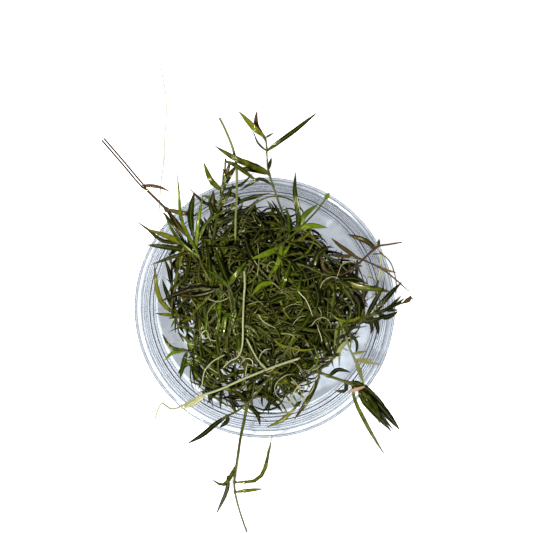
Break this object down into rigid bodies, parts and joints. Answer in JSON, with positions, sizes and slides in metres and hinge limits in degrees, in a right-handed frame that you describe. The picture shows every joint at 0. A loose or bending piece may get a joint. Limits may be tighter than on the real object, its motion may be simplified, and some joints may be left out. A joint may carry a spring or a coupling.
{
  "type": "cup of aquarium plants",
  "caption": "Clear round plastic cup holding a heaped tangle of guppy grass strands and pale roots, some trailing over its rim.",
  "frame": {"origin": "centre of the cup's flat foot, on the surface it stands on", "axes": "+Z up out of the cup's mouth; +Y towards the long root that lies on the table behind the cup; -Y towards the strand that trails over the front of the rim; +X to the right seen from above with +Y up"},
  "size_m": [0.1382, 0.2405, 0.0665],
  "materials": {
    "cup_plastic": "clear, smooth and glossy",
    "grass_fresh": "wet, glossy bright green",
    "grass_olive": "wet, glossy olive green",
    "grass_dark": "wet, glossy dark green",
    "grass_brown": "wet, dull reddish brown",
    "grass_pale": "wet, pale green-white",
    "root_pale": "pale, smooth and damp"
  },
  "bodies": {
    "root": {"back_cross": "grass_dark", "back_left_column": "grass_dark", "back_left_root": "root_pale", "back_low": "grass_olive", "back_spray": "grass_olive", "bright_left": "grass_fresh", "bright_tip_back_right": "grass_fresh", "centre_fan": "grass_fresh", "centre_green": "grass_fresh", "centre_root": "root_pale", "centre_root_diagonal": "root_pale", "cup": "cup_plastic", "cut_stem_back_left": "grass_brown", "dark_leaves_right": "grass_dark", "front_cross": "grass_dark", "front_curl_root": "root_pale", "front_inner_leaf": "grass_olive", "front_left_cross": "grass_olive", "front_left_root": "root_pale", "front_left_shoot": "grass_olive", "front_right_bundle": "grass_dark", "front_right_shoot": "grass_pale", "front_sprig": "grass_olive", "front_trailer": "grass_olive", "left_back_cross": "grass_olive", "left_column": "grass_dark", "left_column_inner": "grass_olive", "left_cross": "grass_fresh", "left_leaf": "grass_olive", "left_spray": "grass_olive", "left_wide_leaf": "grass_dark", "pale_runner": "root_pale", "pale_stem_back": "grass_pale", "right_branch": "grass_dark", "right_brown_stem": "grass_brown", "right_cross": "grass_fresh", "right_root": "root_pale", "right_root_thin": "root_pale", "right_stem": "grass_brown", "rim_root": "grass_brown", "strand_01": "grass_dark", "strand_02": "grass_olive", "strand_03": "grass_fresh", "strand_04": "grass_dark", "strand_05": "grass_dark", "strand_06": "grass_olive", "strand_07": "grass_fresh", "strand_08": "grass_dark", "strand_09": "grass_dark", "strand_10": "grass_olive", "strand_11": "grass_fresh", "strand_12": "grass_dark", "strand_13": "grass_dark", "strand_14": "grass_olive", "strand_15": "grass_fresh", "strand_16": "grass_dark", "strand_17": "grass_dark"}
  },
  "joints": []
}
